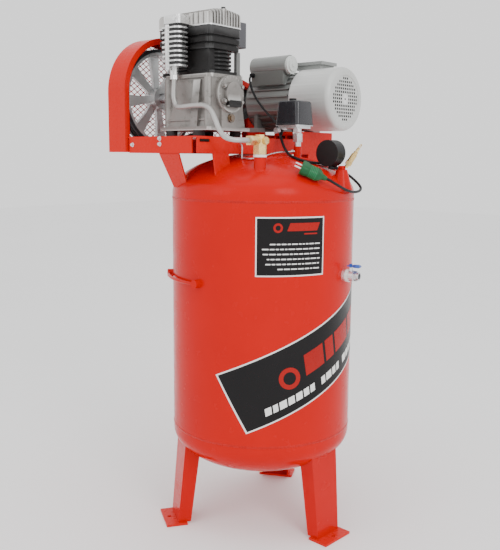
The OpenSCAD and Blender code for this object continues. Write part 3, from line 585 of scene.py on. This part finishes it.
def head_curve(steps, top):
    """Outline of a head from its rim to its middle."""
    points = []
    for i in range(steps + 1):
        a = math.pi / 2 * i / steps
        r = TANK_R * math.cos(a)
        h = HEAD_DEPTH * math.sin(a)
        points.append((r, RIM_TOP + h if top else RIM_LOW - h))
    return points


def bead(radius, height, thick, name):
    """A weld bead round the tank, with its scale pattern."""
    ripples, around = 220, 6
    count = ripples * 3
    verts, faces = [], []
    for i in range(count):
        a = 2 * math.pi * i / count
        swell = thick * (0.85 + 0.25 * abs(math.sin(math.pi * i / 3.0)) + RNG.uniform(-0.06, 0.06))
        wander = RNG.uniform(-0.0003, 0.0003)
        for k in range(around + 1):
            b = math.pi * k / around
            r = radius + swell * 0.55 * math.sin(b) - 0.0004
            z = height + wander + swell * 1.6 * math.cos(b)
            verts.append((r * math.cos(a), r * math.sin(a), z))
    n = around + 1
    for i in range(count):
        j = (i + 1) % count
        for k in range(around):
            faces.append((i * n + k, j * n + k, j * n + k + 1, i * n + k + 1))
    return build(verts, faces, name)


def make_tank():
    """Shell and heads as smooth turned skins, joined by raised weld seams."""
    top = [(TANK_R, SEAM_TOP)] + head_curve(40, True)
    low = [(TANK_R, SEAM_LOW)] + head_curve(40, False)
    shell = [(TANK_R, SEAM_TOP + (SEAM_LOW - SEAM_TOP) * i / 40) for i in range(41)]
    skins = (("head_skin_top", top, "tank_head_top"), ("shell_skin", shell, "tank_shell"),
             ("head_skin_low", low, "tank_head_bottom"))
    for name, profile, node in skins:
        skin = piece(name, lathe(profile, count=160, name=name), "red", smooth=60)
        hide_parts(node)
    for name, z in (("seam_top", SEAM_TOP), ("seam_low", SEAM_LOW)):
        piece(name, bead(TANK_R, z, 0.0022, name), "red_weld", smooth=60)
    socket = lathe([(0.008, 0.142), (0.016, 0.142), (0.016, 0.154), (0.0185, 0.158), (0.008, 0.158)],
                   count=48, closed=True)
    piece("drain_socket", socket, "red_weld")


# ---------------------------------------------------------------- decals

def on_shell(corners, lift, nu=24, nv=6):
    """A four-cornered patch given by (arc, height) corners, wrapped on the shell at a small lift."""
    verts, faces = [], []
    a, b, c, d = [Vector(p) for p in corners]
    for j in range(nv + 1):
        for i in range(nu + 1):
            u, v = i / nu, j / nv
            p = (a * (1 - u) + b * u) * (1 - v) + (d * (1 - u) + c * u) * v
            turn = p.x / TANK_R
            r = TANK_R + lift
            verts.append((r * math.cos(turn), r * math.sin(turn), p.y))
    for j in range(nv):
        for i in range(nu):
            k = j * (nu + 1) + i
            faces.append((k, k + 1, k + nu + 2, k + nu + 1))
    return build(verts, faces, "patch")


def rectangle(x0, x1, z0, z1):
    """Corners of an upright rectangle, as (arc, height) points."""
    return [(x0, z0), (x1, z0), (x1, z1), (x0, z1)]


def flat_ring(x, z, outer, inner, lift):
    """A plain ring on the shell, as a list of short pieces."""
    parts = []
    turns = [math.radians(360 / RING_STEPS * k) for k in range(RING_STEPS + 1)]
    for a, b in zip(turns, turns[1:]):
        corners = [(x + r * math.cos(t), z + r * math.sin(t))
                   for r, t in ((outer, a), (outer, b), (inner, b), (inner, a))]
        parts.append(on_shell(corners, lift, 2, 1))
    return parts


def make_label():
    """Instruction plate: black with a white border, a plain red block and ring, and rows of plain bars."""
    x0, x1, z0, z1 = -0.2385, -0.0545, 0.726, 0.875
    edge = 0.0035
    white = on_shell(rectangle(x0, x1, z0, z1), BORDER_LIFT)
    black = on_shell(rectangle(x0 + edge, x1 - edge, z0 + edge, z1 - edge), FACE_LIFT)
    bars = []
    for row in range(6):
        z = 0.806 - row * 0.0125
        right = x1 - 0.012 - RNG.uniform(0, 0.004)
        left = x0 + 0.014 + RNG.uniform(0.0, 0.055)
        x = right
        while x > left:
            w = RNG.uniform(0.006, 0.018)
            bars.append(on_shell(rectangle(x - w, x, z, z + 0.0030), PRINT_LIFT, 3, 1))
            x -= w + 0.0028
    accent = [on_shell([(x1 - 0.105, 0.840), (x1 - 0.022, 0.840), (x1 - 0.014, 0.860), (x1 - 0.097, 0.860)],
                       PRINT_LIFT, 10, 2),
              on_shell(rectangle(x1 - 0.060, x1 - 0.022, 0.831, 0.8345), PRINT_LIFT, 6, 1)]
    accent += flat_ring(x1 - 0.128, 0.848, 0.0120, 0.0065, PRINT_LIFT)
    piece("label_border", white, "decal_white")
    piece("label_face", black, "decal_black")
    piece("label_bars", join_meshes(bars, "label_bars"), "decal_white")
    piece("label_accent", join_meshes(accent, "label_accent"), "decal_red")


def band_top(s):
    """Upper edge of the slanting band at arc s."""
    return 0.6185 + 0.452 * s


def band_low(s):
    """Lower edge of the slanting band at arc s."""
    return 0.4325 + 0.443 * s


def make_band():
    """The slanting band: black with a thin white border, a plain ring and plain bars."""
    def strip(s0, s1, t0, t1, lift, lean=0.0, nu=40, nv=4):
        """Part of the band from arc s0 to s1 and from share t0 to t1 of its height."""
        def point(s, t):
            return s + lean * t, band_low(s) * (1 - t) + band_top(s + lean) * t
        return on_shell([point(s0, t0), point(s1, t0), point(s1, t1), point(s0, t1)], lift, nu, nv)
    slant = -0.083
    white = strip(-0.259, 0.235, -0.012, 1.012, BORDER_LIFT, slant)
    black = strip(-0.2545, 0.2305, 0.012, 0.988, FACE_LIFT, slant)
    bars = []
    s = -0.205
    while s < 0.20:
        w = RNG.uniform(0.010, 0.020)
        if RNG.random() > 0.14:
            bars.append(strip(s, s + w, 0.13, 0.245, PRINT_LIFT, slant * 0.3, 4, 1))
        s += w + 0.0042
    blocks = [strip(s, s + w, 0.42, 0.74, BLOCK_LIFT, slant * 0.35, 6, 3)
              for s, w in ((-0.088, 0.058), (-0.022, 0.030), (0.016, 0.066), (0.090, 0.052))]
    blocks += flat_ring(-0.147, 0.463, 0.0290, 0.0170, RING_LIFT)
    piece("band_border", white, "decal_white")
    piece("band_face", black, "decal_black")
    piece("band_bars", join_meshes(bars, "band_bars"), "decal_white")
    piece("band_blocks", join_meshes(blocks, "band_blocks"), "decal_red")


# ---------------------------------------------------------------- guard mesh

def guard_hull(inset):
    """Convex outline of the guard in the belt's plane, as (y, z) points."""
    points = []
    for cy, cz, full in GUARD_ROUNDS:
        r = full - inset
        for i in range(72):
            a = 2 * math.pi * i / 72
            points.append((cy + r * math.cos(a), cz + r * math.sin(a)))
    points += [(-0.300 + inset, 1.031 + inset), (0.260 - inset, 1.031 + inset)]
    points = sorted(set((round(y, 6), round(z, 6)) for y, z in points))

    def half(pts):
        out = []
        for p in pts:
            while len(out) > 1 and ((out[-1][0] - out[-2][0]) * (p[1] - out[-2][1])
                                    - (out[-1][1] - out[-2][1]) * (p[0] - out[-2][0])) <= 0:
                out.pop()
            out.append(p)
        return out[:-1]
    return half(points) + half(points[::-1])


def clip_line(outline, origin, direction):
    """Stretch of a line inside a convex outline, as two distances, or None."""
    low, high = -1e9, 1e9
    for (y0, z0), (y1, z1) in zip(outline, outline[1:] + outline[:1]):
        ny, nz = -(z1 - z0), y1 - y0
        off = ny * (origin[0] - y0) + nz * (origin[1] - z0)
        rate = ny * direction[0] + nz * direction[1]
        if abs(rate) < 1e-12:
            if off < 0:
                return None
            continue
        t = -off / rate
        if rate > 0:
            low = max(low, t)
        else:
            high = min(high, t)
    return (low, high) if low < high else None


def make_guard_mesh():
    """Expanded metal: two families of flat strands crossing as long diamonds."""
    outline = guard_hull(0.0035)
    strands = []
    long_way, short_way = 0.0112, 0.0078
    for sign in (-1, 1):
        along = Vector((long_way, sign * short_way)).normalized()
        step = 2 * long_way * short_way / math.hypot(long_way, short_way)
        across = Vector((-along.y, along.x))
        for i in range(-75, 76):
            origin = Vector((-0.02, 1.18)) + across * (i * step)
            cut = clip_line(outline, origin, along)
            if not cut:
                continue
            a, b = origin + along * cut[0], origin + along * cut[1]
            half = across * 0.00105
            x0, x1 = (-0.2896, -0.2886) if sign < 0 else (-0.2892, -0.2882)
            corners = [a - half, b - half, b + half, a + half]
            verts = [(x, p.x, p.y) for x in (x0, x1) for p in corners]
            faces = [(0, 1, 2, 3), (7, 6, 5, 4), (0, 4, 5, 1), (1, 5, 6, 2), (2, 6, 7, 3), (3, 7, 4, 0)]
            strands.append(build(verts, faces))
    net = piece("guard_net", join_meshes(strands, "guard_net"), "red_deck")
    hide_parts("guard_mesh")


# ---------------------------------------------------------------- pipes and switch

PIPE = [(-107, -234, 1216), (-107, -236, 1172), (-100, -234, 1152), (-84, -238, 1146), (-30, -238, 1148),
        (6, -240, 1146), (30, -243, 1134), (52, -250, 1110), (70, -255, 1086), (86, -253, 1069),
        (100, -240, 1062), (112, -222, 1061), (113, -196, 1061)]
TUBE = [(98.3, -151, 1058), (60, -151, 1058), (37, -140, 1056), (35, -130, 1046), (35, -130, 1018.2),
        (44, -130, 1018), (71, -122, 1017), (76, -40, 1032), (82, 20, 1036), (84, 29, 1037)]


def make_pipes():
    """The delivery pipe from the aftercooler, and the thin unloader tube."""
    pipe = tube("delivery_line", mm(PIPE), 0.0065, "pipe")[0]
    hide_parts("delivery_pipe")
    small = tube("unloader_line", mm(TUBE), 0.0022, "zinc")[0]
    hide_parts("unloader_tube")


def make_switch_cover():
    """Moulded cover: tapered sides with full corners and a softly rounded top."""
    low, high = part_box("switch_cover")
    centre = (low + high) / 2
    place = Matrix.Translation((centre.x, centre.y, low.z))
    w, d, h = high.x - low.x, high.y - low.y, high.z - low.z
    rings = [rounded_ring(place, w, d, 0.009, 0.0), rounded_ring(place, w, d, 0.009, 0.003),
             rounded_ring(place, w * 0.985, d * 0.985, 0.009, 0.0036)]
    for i in range(1, 7):
        t = i / 7
        k = 0.985 - 0.085 * t
        rings.append(rounded_ring(place, w * k, d * k, 0.009 + 0.002 * t, h * 0.9 * t))
    for i in range(6):
        a = math.radians(90 * i / 5)
        inset = 0.006 * (1 - math.cos(a))
        rings.append(rounded_ring(place, w * 0.895 - 2 * inset, d * 0.895 - 2 * inset, 0.011 - inset * 0.5,
                                  h * 0.9 + h * 0.1 * math.sin(a)))
    cover = piece("switch_shell", loft(rings), "switch", smooth=35)
    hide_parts("switch_cover")


def make_small_parts():
    """Bolts, washers, the blank plate and the sealing ring that the frame's nodes leave out."""
    deck_low, deck_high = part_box("deck")
    front, side = deck_high.x, deck_low.y
    for i, (x, z) in enumerate(((-0.101, 1.0655), (-0.101, 1.0515), (-0.205, 1.050))):
        bolt = hex_bolt(f"deck_bolt_{i}", turned((x, side - 0.001, z), (0, -1, 0)), 0.008, 0.0045, "zinc")
    plate_y = -0.262
    plate = loft([rounded_ring(turned((front + 0.0002, plate_y, 1.0605), (1, 0, 0)), 0.034, 0.007, 0.001, z)
                  for z in (0, 0.0008)])
    piece("blank_plate", plate, "decal_black")
    ring = lathe([(0.0152, 1.0205), (0.0172, 1.0205), (0.0172, 1.0265), (0.0152, 1.0265)],
                 Matrix.Translation((VALVE_X, VALVE_Y, 0)), 40, closed=True)
    piece("seal_ring", ring, "ring")
    sockets = (("valve_socket", VALVE_X, VALVE_Y, 0.0150, 0.982, 1.0203),
               ("riser_socket", RISER_X, RISER_Y, 0.0105, 1.010, 1.0500))
    for name, x, y, radius, z0, z1 in sockets:
        profile = [(0.002, z0), (radius + 0.0035, z0), (radius + 0.0035, z0 + 0.004), (radius, z0 + 0.008),
                   (radius, z1 - 0.0008), (radius - 0.0008, z1), (0.002, z1)]
        sleeve = lathe(profile, Matrix.Translation((x, y, 0)), 48, closed=True)
        piece(name, sleeve, "red")
    collar = lathe([(0.0152, -0.003), (0.0170, -0.003), (0.0172, 0.0045), (0.0152, 0.0045)],
                   turned(OUTLET_WAY * 0.2640 + Vector((0, 0, OUTLET_Z)), OUTLET_WAY), 40, closed=True)
    piece("outlet_collar", collar, "ring")


def make_lever_grip():
    """The dipped grip on the outlet valve's lever, which turns with it."""
    place = turned(OUTLET_WAY * 0.2785 + Vector((0, 0, LEVER_Z)), OUTLET_WAY)
    rings = [rounded_ring(place, w, h, r, z) for w, h, r, z in (
        (0.0115, 0.0060, 0.0028, 0.0), (0.0140, 0.0082, 0.0038, 0.0020), (0.0150, 0.0090, 0.0042, 0.0090),
        (0.0150, 0.0090, 0.0042, 0.0165), (0.0115, 0.0062, 0.0028, 0.0197))]
    piece("lever_grip", loft(rings), "blue", "outlet_lever")


def make_pump_details():
    """A bar across the pump's cover, black as painted shade on its grey metal; a black block in the aftercooler
    as painted shade between its fins; and its bright column.
    """
    axle = JOINTS["crank_spin"]["pos_m"]
    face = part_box("front_cover")[1].x
    # Painted shade: a raised bar in black iron where the cover's grey metal lies in shade.
    bar = turned((face - 0.0105, axle[1], axle[2] - 0.0245), (1, 0, 0))
    rings = [rounded_ring(bar, 0.0475, 0.0165, r, z)
             for r, z in ((0.006, 0.0), (0.007, 0.008), (0.005, 0.0108))]
    piece("cover_pad_shade", loft(rings), "iron")
    # Painted shade: a plain black block fills the gaps between the aftercooler's fins, where shade falls on the
    # core behind them.
    middle = Matrix.Translation((-0.0975, -0.2400, 0))
    inside = [rounded_ring(middle, 0.0560, 0.0330, 0.012, z) for z in (COOLER_LOW, COOLER_HIGH)]
    piece("cooler_gap_shade", loft(inside), "iron")
    column = lathe([(0, 1.238), (0.0060, 1.238), (0.0070, 1.241), (0.0070, 1.348), (0, 1.348)],
                   Matrix.Translation((-0.1070, -0.2560, 0)), 40)
    piece("cooler_column", column, "bright")


# ---------------------------------------------------------------- CAD nodes that stay

def dress_nodes():
    """Gives each CAD node that stays a finish and, where it has one, a bevel of the width in millimetres."""
    looks = {
        "leg_a": ("red", 1.2), "leg_b": ("red", 1.2), "leg_c": ("red", 1.2), "foot_plates": ("red_deck", 0.8),
        "deck": ("red_deck", 1.2), "deck_struts": ("red_deck", 0.8), "motor_rails": ("red_deck", 1.0),
        "guard_inner": ("red_deck", 0.5), "guard_rim": ("red_deck", 0.5), "grab_bar": ("red", 0.5),
        "flywheel": ("flywheel", 1.0), "crankshaft": ("steel", 0.5), "pistons_front": ("bright", 0.4),
        "pistons_rear": ("bright", 0.4), "crankcase": ("cast", 2.4), "front_cover": ("cast", 1.6),
        "sight_glass": ("oil", 0.5), "pump_feet": ("dusty", 0.8), "cylinder_block": ("iron", 0.9),
        "valve_plate": ("bright", 0.6), "cylinder_head": ("cast", 0.9), "pump_bolts": ("iron", 0.6),
        "aftercooler": ("bright", 0.8), "air_filter": ("filter", 1.5), "breather_pipe": ("breather", 0.5),
        "v_belt": ("belt", 0.4), "motor_body": ("motor", 0.8), "end_shield": ("shield", 0.8),
        "fan_cover": ("cover", 0.0), "motor_fan": ("fan", 0.5), "motor_shaft": ("steel", 0.5),
        "motor_pulley": ("iron", 0.6), "capacitor_box": ("motor", 2.0), "capacitor_cap": ("cap", 1.2),
        "terminal_box": ("motor", 2.0), "check_valve": ("brass", 0.6), "check_disc": ("black", 0.3),
        "switch_riser": ("zinc", 0.5), "switch_base": ("zinc", 0.6), "switch_knob": ("black", 0.6),
        "gauge_stub": ("red", 0.8), "gauge_case": ("black", 0.9), "gauge_dial": ("dial", 0.0),
        "gauge_needle": ("black", 0.0), "safety_valve": ("brass", 0.4), "safety_ring": ("brass", 0.2),
        "outlet_valve": ("zinc", 0.5), "outlet_lever": ("blue", 0.8), "drain_valve": ("brass", 0.4),
        "drain_knob": ("brass", 0.5)}
    for node, (finish, width) in looks.items():
        obj = NODES[node]
        obj.data.materials.clear()
        obj.data.materials.append(FINISH[finish])
        soften(obj, 30)
        if width:
            bevel(obj, width / 1000)


# ---------------------------------------------------------------- room

def area_light(name, at, target, size, power):
    """A rectangular soft light at a place, aimed at a target."""
    data = bpy.data.lights.new(name, "AREA")
    data.shape = "RECTANGLE"
    data.size, data.size_y = size
    data.energy = power
    light = bpy.data.objects.new(name, data)
    bpy.context.scene.collection.objects.link(light)
    light.location = at
    light.rotation_mode = "QUATERNION"
    light.rotation_quaternion = (Vector(target) - Vector(at)).to_track_quat("-Z", "Y")


def make_room():
    """A flat pale floor, an even pale world and three soft lights."""
    corners = [(x * FLOOR_HALF, y * FLOOR_HALF, 0) for x, y in ((-1, -1), (1, -1), (1, 1), (-1, 1))]
    floor = build(corners, [(0, 1, 2, 3)], "floor")
    mat = surface("floor_pale", (0.95, 0.95, 0.95), rough=0.9, tone=0.01, patch=0.6, grain=40, bump=0.02)
    floor.materials.append(mat)
    ground = bpy.data.objects.new("floor", floor)
    bpy.context.scene.collection.objects.link(ground)
    ground.location.z = -0.0005
    world = bpy.data.worlds.new("studio")
    bpy.context.scene.world = world
    world.use_nodes = True
    back = world.node_tree.nodes["Background"]
    back.inputs["Color"].default_value = (1, 1, 1, 1)
    back.inputs["Strength"].default_value = WORLD_LIGHT
    area_light("key", (3.0, -1.2, 2.6), (0, 0, 0.9), (1.2, 1.8), 40)
    area_light("fill", (-0.8, -3.2, 2.3), (0, 0, 0.8), (1.4, 2.2), 12)
    area_light("top", (0.3, -0.6, 3.4), (0, 0, 1.0), (2.2, 1.8), 12)


make_camera()
FINISH = make_finishes()
make_cords()
make_tank()
make_label()
make_band()
make_guard_mesh()
make_pipes()
make_switch_cover()
make_small_parts()
make_pump_details()
make_lever_grip()
dress_nodes()
make_room()
